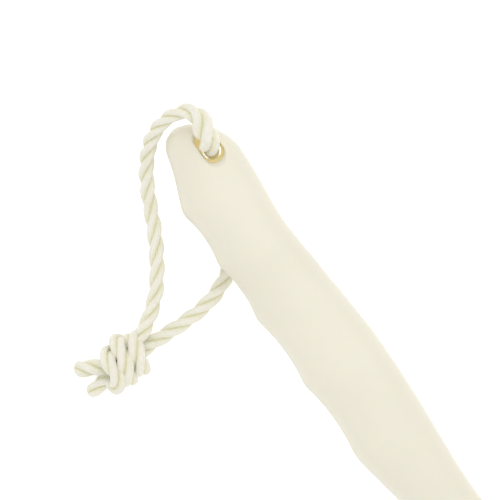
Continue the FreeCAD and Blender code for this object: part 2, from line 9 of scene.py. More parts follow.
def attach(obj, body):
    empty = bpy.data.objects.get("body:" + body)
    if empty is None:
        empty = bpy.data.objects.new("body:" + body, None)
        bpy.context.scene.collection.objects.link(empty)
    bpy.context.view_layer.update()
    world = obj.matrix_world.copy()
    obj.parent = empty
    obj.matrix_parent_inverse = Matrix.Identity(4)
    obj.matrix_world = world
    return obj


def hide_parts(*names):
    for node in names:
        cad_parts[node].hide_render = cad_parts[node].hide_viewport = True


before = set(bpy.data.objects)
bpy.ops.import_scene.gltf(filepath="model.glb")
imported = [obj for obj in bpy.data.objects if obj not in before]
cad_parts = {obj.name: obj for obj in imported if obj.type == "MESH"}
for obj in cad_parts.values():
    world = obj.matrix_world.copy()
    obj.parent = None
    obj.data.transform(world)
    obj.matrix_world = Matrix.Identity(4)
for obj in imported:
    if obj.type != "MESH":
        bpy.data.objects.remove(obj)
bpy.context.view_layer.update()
scene = bpy.context.scene


# ---------------------------------------------------------------- table, light and camera
# A white light table under two wide soft boxes and an even white surround. The camera
# looks straight down on the tip of the grip, turned so that the grip runs downhill.

view_across = 0.15625
view_middle = (-0.1549, 0.0082)
camera_height = 1.0
middle_height = 0.015
film_width = 36.0
camera_data = bpy.data.cameras.new("camera")
camera_data.sensor_width = film_width
camera_data.lens = film_width * (camera_height - middle_height) / view_across
camera_data.clip_start = 0.01
camera = bpy.data.objects.new("camera", camera_data)
scene.collection.objects.link(camera)
across, upright = Vector((0.5766, 0.8170, 0.0)), Vector((-0.8170, 0.5766, 0.0))
camera.matrix_world = Matrix(
    (
        (across.x, upright.x, 0.0, view_middle[0]),
        (across.y, upright.y, 0.0, view_middle[1]),
        (0.0, 0.0, 1.0, camera_height),
        (0.0, 0.0, 0.0, 1.0),
    )
)
scene.camera = camera
scene.view_settings.view_transform = "Standard"

surround = bpy.data.worlds.new("white surround")
scene.world = surround
surround.use_nodes = True
sky = surround.node_tree.nodes["Background"]
sky.inputs["Color"].default_value = (1.0, 0.995, 0.985, 1)
sky.inputs["Strength"].default_value = 0.86


def soft_box(name, place, aim, size, power):
    """A round, slightly warm soft box at a place, turned to an aim."""
    lamp = bpy.data.lights.new(name, "AREA")
    lamp.shape = "DISK"
    lamp.size = size
    lamp.energy = power
    lamp.color = (1.0, 0.99, 0.97)
    holder = bpy.data.objects.new(name, lamp)
    scene.collection.objects.link(holder)
    toward = (Vector(aim) - Vector(place)).to_track_quat("-Z", "Y")
    holder.matrix_world = Matrix.Translation(place) @ toward.to_matrix().to_4x4()


soft_box("soft box", (-0.55, 0.35, 1.25), (-0.10, 0.0, 0.0), 1.1, 4.6)
soft_box("fill box", (0.75, -0.35, 1.05), (-0.10, 0.0, 0.0), 1.2, 1.6)


def finish(name, colour, roughness, **sockets):
    """A new material: its tree's nodes, its links and its main shader."""
    material = bpy.data.materials.new(name)
    material.use_nodes = True
    shader = material.node_tree.nodes["Principled BSDF"]
    shader.inputs["Base Color"].default_value = (*colour, 1)
    shader.inputs["Roughness"].default_value = roughness
    for socket, value in sockets.items():
        shader.inputs[socket.replace("_", " ")].default_value = value
    return material, material.node_tree.nodes, material.node_tree.links, shader


def add(nodes, kind, **values):
    """A node with some of its properties and inputs set."""
    node = nodes.new(kind)
    for key, value in values.items():
        if hasattr(node, key):
            setattr(node, key, value)
        else:
            node.inputs[key.replace("_", " ")].default_value = value
    return node


def noise(nodes, links, coordinate, scale, detail=3.0, roughness=0.5, stretch=(1, 1, 1)):
    """Noise on a coordinate, which is stretched first."""
    mapping = add(nodes, "ShaderNodeMapping", Scale=stretch)
    links.new(coordinate, mapping.inputs["Vector"])
    texture = add(nodes, "ShaderNodeTexNoise", Scale=scale, Detail=detail, Roughness=roughness)
    links.new(mapping.outputs["Vector"], texture.inputs["Vector"])
    return texture.outputs["Fac"]


def ramp(nodes, links, value, stops):
    """Colour ramp over a value, from a list of (place, colour)."""
    node = nodes.new("ShaderNodeValToRGB")
    elements = node.color_ramp.elements
    while len(elements) < len(stops):
        elements.new(0.5)
    for element, (place, colour) in zip(elements, stops):
        element.position = place
        element.color = (*colour, 1)
    links.new(value, node.inputs["Fac"])
    return node.outputs["Color"]


def mix(nodes, links, factor, first, second, blend="MIX"):
    """Mix of two colours or links; factor is a link or a number."""
    node = add(nodes, "ShaderNodeMix", data_type="RGBA", blend_type=blend)
    share, one, other = node.inputs[0], node.inputs[6], node.inputs[7]
    for socket, value in ((share, factor), (one, first), (other, second)):
        if isinstance(value, bpy.types.NodeSocket):
            links.new(value, socket)
        elif isinstance(value, tuple):
            socket.default_value = (*value, 1)
        else:
            socket.default_value = value
    return node.outputs[2]


def bumped(nodes, links, shader, height, distance, strength=1.0):
    """A bump from a height, laid over the bump that the shader already has."""
    bump = add(nodes, "ShaderNodeBump", Distance=distance, Strength=strength)
    links.new(height, bump.inputs["Height"])
    if shader.inputs["Normal"].is_linked:
        links.new(shader.inputs["Normal"].links[0].from_socket, bump.inputs["Normal"])
    links.new(bump.outputs["Normal"], shader.inputs["Normal"])


def remap(nodes, links, value, low, high, to_low, to_high):
    """A value moved from one range to another, and held at its ends."""
    node = add(
        nodes, "ShaderNodeMapRange", From_Min=low, From_Max=high, To_Min=to_low, To_Max=to_high
    )
    links.new(value, node.inputs["Value"])
    return node.outputs["Result"]


def coordinates(nodes, kind="Object"):
    """The piece's own coordinates, or its UV."""
    return nodes.new("ShaderNodeTexCoord").outputs[kind]


def piece_from(name, verts, faces, material, smooth=True):
    """A piece from its points and faces, at the origin."""
    mesh = bpy.data.meshes.new(name)
    mesh.from_pydata(verts, [], faces)
    mesh.polygons.foreach_set("use_smooth", [smooth] * len(mesh.polygons))
    mesh.materials.append(material)
    piece = bpy.data.objects.new(name, mesh)
    scene.collection.objects.link(piece)
    return piece


def dress(node, material):
    """The material on every slot of a piece that comes from the frame."""
    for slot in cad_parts[node].material_slots:
        slot.material = material


table_white, nodes, links, shader = finish(
    "table white",
    (0.80, 0.80, 0.80),
    0.62,
    Emission_Color=(1.0, 1.0, 0.995, 1),
    Emission_Strength=0.42,
)
grain = noise(nodes, links, coordinates(nodes), 900.0, 2.0)
bumped(nodes, links, shader, grain, 0.00002, 0.3)
half = 1.6
table_top = -0.0003
table = piece_from(
    "table",
    [(-half, -half, table_top), (half, -half, table_top), (half, half, table_top), (-half, half, table_top)],
    [(0, 1, 2, 3)],
    table_white,
    smooth=False,
)


# ---------------------------------------------------------------- hanging cord
# Three-strand cotton cord, 5 mm thick and laid to the right, threaded down through
# the slot in the tip. One leg bends over the tip and one runs back under the grip.

cord_thickness = 0.0050
cord_lay = 0.0206
strand_radius = 0.00126
cord_core = 0.0008
yarns = 9
yarn_depth = 0.045
yarn_turn = 55.0
point_spacing = 0.00036

leg_over_tip = [
    (-0.1875, 0.0164, 0.0134),
    (-0.1875, 0.0164, 0.0261),
    (-0.1996, 0.0201, 0.0266),
    (-0.2037, 0.0123, 0.0224),
    (-0.2020, 0.0036, 0.0148),
    (-0.1957, -0.0034, 0.0070),
    (-0.1877, -0.0082, 0.0025),
    (-0.1778, -0.0126, 0.0025),
    (-0.1673, -0.0188, 0.0025),
    (-0.1591, -0.0254, 0.0032),
    (-0.1529, -0.0344, 0.0062),
    (-0.1507, -0.0412, 0.0084),
]
leg_under_grip = [
    (-0.1875, 0.0164, 0.0134),
    (-0.1875, 0.0164, 0.0021),
    (-0.1752, 0.0106, 0.0023),
    (-0.1635, 0.0072, 0.0025),
    (-0.1531, -0.0006, 0.0025),
    (-0.1485, -0.0118, 0.0025),
    (-0.1481, -0.0240, 0.0025),
    (-0.1489, -0.0358, 0.0025),
    (-0.1485, -0.0412, 0.0025),
]


def line_through(route):
    """Evenly spaced points along the smooth line that a route's points control."""
    curve = bpy.data.curves.new("line", "CURVE")
    curve.dimensions = "3D"
    curve.resolution_u = 32
    spline = curve.splines.new("NURBS")
    spline.points.add(len(route) - 1)
    for point, place in zip(spline.points, route):
        point.co = (*place, 1)
    spline.order_u = 3
    spline.use_endpoint_u = True
    holder = bpy.data.objects.new("line", curve)
    scene.collection.objects.link(holder)
    mesh = bpy.data.meshes.new_from_object(holder)
    dense = [v.co.copy() for v in mesh.vertices]
    bpy.data.objects.remove(holder)
    bpy.data.curves.remove(curve)
    bpy.data.meshes.remove(mesh)
    total = sum((b - a).length for a, b in zip(dense, dense[1:]))
    count = max(8, round(total / point_spacing))
    line, walked, index = [dense[0]], 0.0, 0
    for step in range(1, count):
        wanted = total * step / count
        while walked + (dense[index + 1] - dense[index]).length < wanted:
            walked += (dense[index + 1] - dense[index]).length
            index += 1
        ahead = dense[index + 1] - dense[index]
        line.append(dense[index] + ahead * ((wanted - walked) / ahead.length))
    line.append(dense[-1])
    return line, total


def frames_along(line):
    """A tangent and two side directions at each point, carried along without twist."""
    last = len(line) - 1
    tangents = [(line[min(i + 1, last)] - line[max(i - 1, 0)]).normalized() for i in range(last + 1)]
    side = Vector((0.3, 0.2, 0.9)).cross(tangents[0]).normalized()
    frames = []
    for tangent in tangents:
        side = (side - tangent * side.dot(tangent)).normalized()
        frames.append((tangent, side, tangent.cross(side)))
    return frames


def girth_at(along, girths):
    """How full the cord is at a place, from a list of (distance along, fullness)."""
    for (start, first), (end, second) in zip(girths, girths[1:]):
        if along <= end:
            return first + (second - first) * max(0.0, along - start) / (end - start)
    return girths[-1][1]


def laid_rope(name, route, material, turn, seal=False, thickness=cord_thickness, girths=((0.0, 1.0),)):
    """Three strands laid around a line. Each strand's surface carries its yarns.

    A sealed rope closes to a round end over the last part of its line.
    """
    line, total = line_through(route)
    frames = frames_along(line)
    scale = thickness / cord_thickness
    radius = strand_radius * scale
    offset = thickness / 2 - radius
    core = cord_core * scale
    sealed = thickness * 0.42
    around = yarns * 4
    verts, faces, groove, runs = [], [], [], []
    for strand in range(3):
        first = len(verts)
        for i, (centre, (tangent, side, up)) in enumerate(zip(line, frames)):
            along = total * i / (len(line) - 1)
            lay = turn + strand * math.tau / 3 + math.tau * along / cord_lay
            out = side * math.cos(lay) + up * math.sin(lay)
            close = girth_at(along, girths)
            left = (total - along) / sealed
            if seal and left < 1:
                close *= math.sqrt(max(0.0, 1 - (1 - left) ** 2))
            for j in range(around):
                angle = math.tau * j / around
                lobe = 1 + yarn_depth * math.cos(yarns * (angle + along * yarn_turn + strand))
                away = side * math.cos(angle) + up * math.sin(angle)
                arm = out * offset + away * (radius * lobe)
                verts.append(centre + arm * close)
                # How far a point lies in among the strands; the cord's finish paints shade into the grooves
                # from this.
                groove.append(1 - (arm.length - core) / (thickness / 2 - core))
                runs.append((j / around, along))
        for i in range(len(line) - 1):
            for j in range(around):
                a = first + i * around + j
                b = first + i * around + (j + 1) % around
                faces.append((a, b, b + around, a + around))
        faces.append(tuple(first + j for j in reversed(range(around))))
        last = first + (len(line) - 1) * around
        faces.append(tuple(last + j for j in range(around)))
    piece = piece_from(name, verts, faces, material)
    piece.data.attributes.new("groove", "FLOAT", "POINT").data.foreach_set("value", groove)
    uv = piece.data.uv_layers.new(name="UVMap")
    for polygon in piece.data.polygons:
        corners = [piece.data.loops[k].vertex_index for k in polygon.loop_indices]
        seam = max(runs[v][0] for v in corners) - min(runs[v][0] for v in corners) > 0.5
        for k, v in zip(polygon.loop_indices, corners):
            u = runs[v][0] + (1 if seam and runs[v][0] < 0.5 else 0)
            uv.data[k].uv = (u, runs[v][1])
    return piece, line, total


def cord_finish(name, light, shade):
    """Soft cotton, lighter on the strands, with painted shade, darker and more yellow, in the grooves
    between them.
    """
    material, nodes, links, shader = finish(
        name, light, 0.62, Sheen_Weight=0.25, Sheen_Roughness=0.5, Specular_IOR_Level=0.35
    )
    attribute = add(nodes, "ShaderNodeAttribute", attribute_name="groove")
    # Painted shade: the share of the darker, yellower groove colour at each point.
    painted_groove_shade = remap(nodes, links, attribute.outputs["Fac"], 0.12, 0.75, 0.0, 1.0)
    between = tuple((a + b) / 2 for a, b in zip(light, shade))
    body = ramp(nodes, links, painted_groove_shade, [(0.0, light), (0.45, between), (1.0, shade)])
    uv = coordinates(nodes, "UV")
    fibres = noise(nodes, links, uv, 1.0, 3.0, 0.6, (46.0, 900.0, 1.0))
    patches = noise(nodes, links, coordinates(nodes), 260.0, 2.0)
    aged = remap(nodes, links, patches, 0.35, 0.75, 0.0, 0.35)
    tinted = mix(nodes, links, aged, body, (0.76, 0.72, 0.56))
    thread = remap(nodes, links, fibres, 0.3, 0.7, 0.90, 1.06)
    links.new(mix(nodes, links, 1.0, tinted, thread, "MULTIPLY"), shader.inputs["Base Color"])
    bumped(nodes, links, shader, fibres, 0.00012, 0.7)
    return material


# The second colour is painted shade, darker and yellower, for the grooves between the strands.
cord_cotton = cord_finish("cord cotton", (0.83, 0.815, 0.73), (0.76, 0.745, 0.50))

# Fullness along each leg, from the slot. The strands spread where the cord bends out of
# the slot, and draw thin over the arch and in the throat, which leaves room to turn.
over_tip_fullness = [
    (0.0, 1.0),
    (0.005, 1.02),
    (0.007, 1.18),
    (0.0095, 1.36),
    (0.013, 1.46),
    (0.018, 1.44),
    (0.022, 1.14),
    (0.028, 0.92),
    (0.036, 0.94),
    (0.044, 1.0),
]
under_grip_fullness = [(0.0, 1.0), (0.003, 0.98), (0.006, 0.86), (0.015, 0.88), (0.020, 1.0)]
leg_turn = 0.6
over_tip, over_line, over_length = laid_rope(
    "cord_over_tip", leg_over_tip, cord_cotton, leg_turn, girths=over_tip_fullness
)
under_grip, under_line, under_length = laid_rope(
    "cord_under_grip", leg_under_grip, cord_cotton, leg_turn, girths=under_grip_fullness
)
slot_mouth = leg_over_tip[0]


# ---------------------------------------------------------------- knot and tails
# The two legs are tied in a knot of their own cord, drawn tight and uneven: three
# wraps round both legs. The two short tails are cut off and their ends melted round.

knot_route = [
    (-0.1493, -0.0408, 0.0060),
    (-0.1532, -0.0386, 0.0046),
    (-0.1538, -0.0382, 0.0076),
    (-0.1514, -0.0388, 0.0101),
    (-0.1479, -0.0399, 0.0104),
    (-0.1446, -0.0412, 0.0089),
    (-0.1438, -0.0413, 0.0058),
    (-0.1458, -0.0414, 0.0032),
    (-0.1500, -0.0417, 0.0027),
    (-0.1545, -0.0421, 0.0042),
    (-0.1560, -0.0428, 0.0073),
    (-0.1534, -0.0430, 0.0102),
    (-0.1484, -0.0442, 0.0112),
    (-0.1445, -0.0461, 0.0090),
    (-0.1434, -0.0466, 0.0058),
    (-0.1457, -0.0464, 0.0031),
    (-0.1497, -0.0460, 0.0026),
    (-0.1534, -0.0464, 0.0043),
    (-0.1543, -0.0477, 0.0074),
    (-0.1516, -0.0482, 0.0101),
    (-0.1478, -0.0484, 0.0108),
    (-0.1446, -0.0495, 0.0092),
    (-0.1436, -0.0512, 0.0060),
    (-0.1468, -0.0505, 0.0058),
]

tail_long_route = [
    (-0.1480, -0.0450, 0.0050),
    (-0.1496, -0.0478, 0.0046),
    (-0.1522, -0.0524, 0.0036),
    (-0.1552, -0.0572, 0.0030),
    (-0.1564, -0.0590, 0.0029),
]
tail_short_route = [
    (-0.1479, -0.0455, 0.0044),
    (-0.1479, -0.0482, 0.0040),
    (-0.1479, -0.0538, 0.0028),
    (-0.1469, -0.0588, 0.0026),
    (-0.1467, -0.0600, 0.0026),
]
wrap_thickness = 0.0057
frayed_thickness = 0.0056
wrap_fullness = [
    (0.0, 0.96),
    (0.02, 1.06),
    (0.034, 0.94),
    (0.05, 1.08),
    (0.066, 0.95),
    (0.085, 1.04),
    (0.2, 1.0),
]
knot, _, _ = laid_rope(
    "cord_knot_wraps", knot_route, cord_cotton, 1.9, thickness=wrap_thickness, girths=wrap_fullness
)
tail_long, _, _ = laid_rope(
    "cord_end_long", tail_long_route, cord_cotton, 0.3, seal=True, thickness=frayed_thickness
)
tail_short, _, _ = laid_rope("cord_end_short", tail_short_route, cord_cotton, 1.4, seal=True)
for piece, node in (
    (over_tip, "hanging_cord"),
    (under_grip, "hanging_cord"),
    (knot, "cord_knot"),
    (tail_long, "cord_tail_long"),
    (tail_short, "cord_tail_short"),
):
    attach(piece, "hanging_loop")
    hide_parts(node)


# ---------------------------------------------------------------- grip
# Two half shells of cream ABS, moulded and closed on a fine seam along the grip's
# edges. The slot's walls carry painted light: a deeper yellow and a faint emission
# stand in for light that comes through the thick plastic and bounces in the slot.

cream = (0.765, 0.735, 0.627)


def cream_plastic(name):
    """Satin moulded plastic, with faint clouds, pores and moulding waves."""
    material, nodes, links, shader = finish(
        name,
        cream,
        0.38,
        Subsurface_Weight=0.18,
        Subsurface_Radius=(0.006, 0.004, 0.002),
        Subsurface_Scale=0.6,
        Specular_IOR_Level=0.42,
    )
    place = coordinates(nodes)
    clouds = noise(nodes, links, place, 22.0, 2.0)
    darker, lighter = (tuple(share * c for c in cream) for share in (0.975, 1.02))
    body = ramp(nodes, links, clouds, [(0.3, darker), (0.7, lighter)])
    pores = noise(nodes, links, place, 1400.0, 3.0, 0.6)
    waves = noise(nodes, links, place, 90.0, 2.0)
    gloss = noise(nodes, links, place, 160.0, 3.0)
    links.new(remap(nodes, links, gloss, 0.3, 0.7, 0.33, 0.44), shader.inputs["Roughness"])
    bumped(nodes, links, shader, pores, 0.00003, 0.5)
    bumped(nodes, links, shader, waves, 0.00025, 0.25)
    return material, nodes, links, shader, place, body


grip_cream, nodes, links, shader, place, body = cream_plastic("grip cream")
# Mask of the slot's walls, where the painted light is laid on.
from_axis = add(nodes, "ShaderNodeVectorMath", operation="SUBTRACT")
from_axis.inputs[1].default_value = (slot_mouth[0], slot_mouth[1], 0)
links.new(place, from_axis.inputs[0])
flat_part = add(nodes, "ShaderNodeVectorMath", operation="MULTIPLY")
flat_part.inputs[1].default_value = (1, 1.5, 0)
links.new(from_axis.outputs[0], flat_part.inputs[0])
reach = add(nodes, "ShaderNodeVectorMath", operation="LENGTH")
links.new(flat_part.outputs[0], reach.inputs[0])
near = remap(nodes, links, reach.outputs["Value"], 0.0060, 0.0078, 1.0, 0.0)
height = add(nodes, "ShaderNodeSeparateXYZ")
links.new(place, height.inputs[0])
deep = remap(nodes, links, height.outputs["Z"], 0.0212, 0.0165, 0.0, 1.0)
inside = add(nodes, "ShaderNodeMath", operation="MULTIPLY")
links.new(near, inside.inputs[0])
links.new(deep, inside.inputs[1])
# Painted light: a deeper yellow on the slot's walls stands in for light bounced in the slot and passed
# through the plastic.
slot_painted_light_yellow = (0.84, 0.74, 0.42)
links.new(mix(nodes, links, inside.outputs[0], body, slot_painted_light_yellow), shader.inputs["Base Color"])
# Painted light: a faint emission on the slot's walls, which are no lamp, stronger deeper in the slot.
shader.inputs["Emission Color"].default_value = (0.90, 0.79, 0.44, 1)
painted_glow = remap(nodes, links, inside.outputs[0], 0.0, 1.0, 0.0, 0.23)
links.new(painted_glow, shader.inputs["Emission Strength"])
dress("handle_shell_upper", grip_cream)
dress("handle_shell_lower", grip_cream)


# ---------------------------------------------------------------- head tray and screws
# A shallow oval dish with a square socket on its back, moulded in the grip's plastic.
# Four pan-head screws pass through its floor into the tang.

tray_cream, nodes, links, shader, place, body = cream_plastic("tray cream")
links.new(body, shader.inputs["Base Color"])
dress("head_tray", tray_cream)

screw_steel, nodes, links, shader = finish("screw steel", (0.56, 0.56, 0.55), 0.3, Metallic=1.0)
turned = noise(nodes, links, coordinates(nodes), 900.0, 2.0, 0.5, (1, 6, 1))
links.new(remap(nodes, links, turned, 0.3, 0.7, 0.22, 0.42), shader.inputs["Roughness"])
bumped(nodes, links, shader, turned, 0.00003, 0.5)
dress("tang_screws", screw_steel)


# ---------------------------------------------------------------- backing board and foam
# An oval of white rigid board covers the screws. A block of open-cell foam is glued
# on it and gives the pad its spring; its edge bulges a little over the tray's rim.

# Millimetres. The oval stands on its long side, so its middle lies 34 mm up and the
# grip rises towards it. The anchor is a point of the grip near its tip.
anchor_x, anchor_y, anchor_z = -190.0, 16.4, 13.3
anchor_along, anchor_out = 9.5, 18.0
head_along, head_half_height = 338.0, 34.0
head_slope = math.asin((head_half_height - anchor_z) / (head_along - anchor_along))
rise, level = math.sin(head_slope), math.cos(head_slope)


def at_head(x, y, z):
    """Place of a point of the head, from millimetres along, out of and across the grip."""
    along = x + head_along - anchor_along
    place = (
        anchor_x + along * level - z * rise,
        anchor_y + y - anchor_out,
        anchor_z + along * rise + z * level,
    )
    return Vector(place) / 1000


end_middle, end_radius, side_radius = 34.0, 28.0, 127.3333
side_middle = side_radius - head_half_height
lean = math.atan2(side_middle, end_middle)


def oval_ring(count):
    """Evenly spaced points of the tray's outline, each with its outward direction."""
    arcs = [
        ((end_middle, 0.0), end_radius, -lean, lean),
        ((0.0, -side_middle), side_radius, lean, math.pi - lean),
        ((-end_middle, 0.0), end_radius, math.pi - lean, math.pi + lean),
        ((0.0, side_middle), side_radius, math.pi + lean, math.tau - lean),
    ]
    lengths = [radius * (end - start) for _, radius, start, end in arcs]
    total, ring = sum(lengths), []
    for step in range(count):
        left = total * step / count
        for (centre, radius, start, end), length in zip(arcs, lengths):
            if left <= length:
                break
            left -= length
        angle = start + left / radius
        out = (math.cos(angle), math.sin(angle))
        ring.append((centre[0] + radius * out[0], centre[1] + radius * out[1], *out))
    return ring, total


def oval_block(name, rows, material, lump, lump_scale=0.1, rings=16, crown=0.0):
    """Closed oval block. rows are (inset, y) from the rim of its back to the rim of its face.

    The face stands out by the crown in its middle, and lumps push all of it about.
    """
    count = 200
    ring, _ = oval_ring(count)
    verts, faces = [], []

    def row(inset, y, share=1.0):
        for x, z, out_x, out_z in ring:
            px, pz = (x - inset * out_x) * share, (z - inset * out_z) * share
            place = Vector((px, y, pz)) * lump_scale
            drop = lump * (field.noise(place) + 0.5 * field.noise(place * 2.7))
            verts.append(at_head(px, y + drop, pz))

    inset, y = rows[0]
    for step in range(1, rings + 1):
        row(inset, y, step / rings)
    for inset, y in rows[1:]:
        row(inset, y)
    inset, y = rows[-1]
    for step in range(rings - 1, 0, -1):
        share = step / rings
        row(inset, y - crown * (1 - share**2), share)
    bands = len(verts) // count
    for band in range(bands - 1):
        for k in range(count):
            a, b = band * count + k, band * count + (k + 1) % count
            faces.append((a, b, b + count, a + count))
    for first, flip in ((0, False), ((bands - 1) * count, True)):
        middle = len(verts)
        verts.append(sum((verts[first + k] for k in range(count)), Vector()) / count)
        for k in range(count):
            a, b = first + k, first + (k + 1) % count
            faces.append((a, b, middle) if flip else (b, a, middle))
    piece = piece_from(name, verts, faces, material)
    shape = bmesh.new()
    shape.from_mesh(piece.data)
    bmesh.ops.recalc_face_normals(shape, faces=shape.faces)
    shape.to_mesh(piece.data)
    shape.free()
    return piece


board_white, nodes, links, shader = finish("board white", (0.74, 0.73, 0.70), 0.6)
pressed = noise(nodes, links, coordinates(nodes), 420.0, 4.0, 0.6)
fibred = ramp(nodes, links, pressed, [(0.35, (0.70, 0.69, 0.655)), (0.65, (0.76, 0.75, 0.72))])
links.new(fibred, shader.inputs["Base Color"])
bumped(nodes, links, shader, pressed, 0.00008, 0.6)
dress("backing_board", board_white)

foam_white, nodes, links, shader = finish("foam", (0.70, 0.67, 0.55), 0.9, Sheen_Weight=0.15)
cells = add(nodes, "ShaderNodeTexVoronoi", Scale=1100.0)
links.new(coordinates(nodes), cells.inputs["Vector"])
links.new(
    ramp(nodes, links, cells.outputs["Distance"], [(0.05, (0.46, 0.42, 0.30)), (0.45, (0.72, 0.69, 0.57))]),
    shader.inputs["Base Color"],
)
bumped(nodes, links, shader, cells.outputs["Distance"], 0.0004, 0.9)
foam = oval_block(
    "foam_block",
    [
        (4.2, 2.2),
        (3.1, 1.7),
        (3.0, 0.6),
        (3.0, -4.4),
        (2.6, -5.6),
        (2.3, -6.8),
        (2.4, -7.8),
        (2.9, -8.9),
        (4.2, -9.6),
    ],
    foam_white,
    lump=0.12,
    rings=10,
)
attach(foam, "scrubber")
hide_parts("foam_core")


# ---------------------------------------------------------------- loofah pad
# A dried loofah gourd, cut open and pressed flat: a springy mat of straw-coloured
# plant fibres that cross, thicker in the middle. The fibres are trimmed at the tape.

loofah_straw, nodes, links, shader = finish(
    "loofah straw", (0.60, 0.50, 0.29), 0.72, Specular_IOR_Level=0.3
)
place = coordinates(nodes)
blotches = noise(nodes, links, place, 70.0, 3.0)
streaks = noise(nodes, links, place, 1500.0, 3.0, 0.6)
straw_stops = [(0.3, (0.60, 0.49, 0.27)), (0.5, (0.74, 0.64, 0.40)), (0.72, (0.82, 0.74, 0.53))]
straw = ramp(nodes, links, blotches, straw_stops)
streaked = remap(nodes, links, streaks, 0.3, 0.7, 0.82, 1.08)
links.new(mix(nodes, links, 1.0, straw, streaked, "MULTIPLY"), shader.inputs["Base Color"])
bumped(nodes, links, shader, streaks, 0.0002, 0.7)

mat_straw, nodes, links, shader = finish("loofah mat", (0.45, 0.35, 0.18), 0.85, Specular_IOR_Level=0.2)
place = coordinates(nodes)
webs = add(nodes, "ShaderNodeTexVoronoi", feature="DISTANCE_TO_EDGE", Scale=420.0)
links.new(place, webs.inputs["Vector"])
web_line = remap(nodes, links, webs.outputs["Distance"], 0.0, 0.28, 1.0, 0.0)
web_stops = [(0.0, (0.34, 0.25, 0.11)), (0.6, (0.56, 0.45, 0.24)), (1.0, (0.72, 0.62, 0.38))]
links.new(ramp(nodes, links, web_line, web_stops), shader.inputs["Base Color"])
bumped(nodes, links, shader, web_line, 0.0009, 1.0)

mat_crown, mat_lump, mat_lump_scale, mat_rings = 2.4, 0.9, 0.16, 30
mat = oval_block(
    "loofah_mat",
    [(6.0, -11.0), (3.6, -11.4), (2.9, -12.6), (2.8, -16.0), (3.0, -19.6), (4.0, -21.0), (6.5, -21.6)],
    mat_straw,
    lump=mat_lump,
    lump_scale=mat_lump_scale,
    rings=mat_rings,
    crown=mat_crown,
)


def geometry_tree(name, inputs):
    """A new geometry tree with named inputs, each (name, socket kind, value)."""
    tree = bpy.data.node_groups.new(name, "GeometryNodeTree")
    tree.interface.new_socket("Geometry", in_out="INPUT", socket_type="NodeSocketGeometry")
    tree.interface.new_socket("Geometry", in_out="OUTPUT", socket_type="NodeSocketGeometry")
    for label, kind, value in inputs:
        socket = tree.interface.new_socket(label, in_out="INPUT", socket_type=kind)
        if value is not None:
            socket.default_value = value
    given, result = tree.nodes.new("NodeGroupInput"), tree.nodes.new("NodeGroupOutput")
    return tree, tree.nodes, tree.links, given, result


def grown(name, base, tree, values):
    """The plain mesh that a geometry tree makes from a base piece."""
    modifier = base.modifiers.new("grown", "NODES")
    modifier.node_group = tree
    for item in tree.interface.items_tree:
        if item.in_out == "INPUT" and item.name in values:
            modifier[item.identifier] = values[item.name]
    ready = base.evaluated_get(bpy.context.evaluated_depsgraph_get())
    mesh = bpy.data.meshes.new_from_object(ready)
    base.modifiers.remove(modifier)
    mesh.name = name
    piece = bpy.data.objects.new(name, mesh)
    scene.collection.objects.link(piece)
    return piece


def random_number(nodes, low, high):
    """A random number between two others: its node and its output."""
    node = add(nodes, "FunctionNodeRandomValue", data_type="FLOAT")
    ends = [i for i in node.inputs if i.type == "VALUE"]
    ends[0].default_value, ends[1].default_value = low, high
    return node, [o for o in node.outputs if o.type == "VALUE"][0]


tree, nodes, links, given, result = geometry_tree(
    "loofah fibres",
    [
        ("Density", "NodeSocketFloat", 300000.0),
        ("Fibre length", "NodeSocketFloat", 0.016),
        ("Fibre radius", "NodeSocketFloat", 0.0003),
        ("Waviness", "NodeSocketFloat", 0.004),
        ("Seed", "NodeSocketInt", 3),
        ("Material", "NodeSocketMaterial", None),
    ],
)
scatter = add(nodes, "GeometryNodeDistributePointsOnFaces", distribute_method="RANDOM")
links.new(given.outputs["Geometry"], scatter.inputs["Mesh"])
links.new(given.outputs["Density"], scatter.inputs["Density"])
links.new(given.outputs["Seed"], scatter.inputs["Seed"])
spin, spin_angle = random_number(nodes, 0.0, math.tau)
links.new(given.outputs["Seed"], spin.inputs["Seed"])
turn_by = add(nodes, "FunctionNodeAxisAngleToRotation", Axis=(0, 0, 1))
links.new(spin_angle, turn_by.inputs["Angle"])
turned = add(nodes, "FunctionNodeRotateRotation", rotation_space="LOCAL")
links.new(scatter.outputs["Rotation"], turned.inputs["Rotation"])
links.new(turn_by.outputs["Rotation"], turned.inputs["Rotate By"])
_, size = random_number(nodes, 0.45, 1.25)
line = add(
    nodes, "GeometryNodeCurvePrimitiveLine", mode="DIRECTION", Direction=(1, 0, 0), Start=(-0.006, 0, 0)
)
links.new(given.outputs["Fibre length"], line.inputs["Length"])
place_on = add(nodes, "GeometryNodeInstanceOnPoints")
links.new(scatter.outputs["Points"], place_on.inputs["Points"])
links.new(line.outputs["Curve"], place_on.inputs["Instance"])
links.new(turned.outputs["Rotation"], place_on.inputs["Rotation"])
links.new(size, place_on.inputs["Scale"])
real = add(nodes, "GeometryNodeRealizeInstances")
links.new(place_on.outputs["Instances"], real.inputs["Geometry"])
resample = add(nodes, "GeometryNodeResampleCurve", mode="COUNT", Count=14)
links.new(real.outputs["Geometry"], resample.inputs["Curve"])
swirl = add(nodes, "ShaderNodeTexNoise", Scale=75.0, Detail=2.0)
centred = add(nodes, "ShaderNodeVectorMath", operation="SUBTRACT")
centred.inputs[1].default_value = (0.5, 0.5, 0.5)
links.new(swirl.outputs["Color"], centred.inputs[0])
flattened = add(nodes, "ShaderNodeVectorMath", operation="MULTIPLY")
flattened.inputs[1].default_value = (1.0, 0.3, 1.0)
links.new(centred.outputs[0], flattened.inputs[0])
scaled = add(nodes, "ShaderNodeVectorMath", operation="SCALE")
links.new(flattened.outputs[0], scaled.inputs[0])
links.new(given.outputs["Waviness"], scaled.inputs["Scale"])
moved = add(nodes, "GeometryNodeSetPosition")
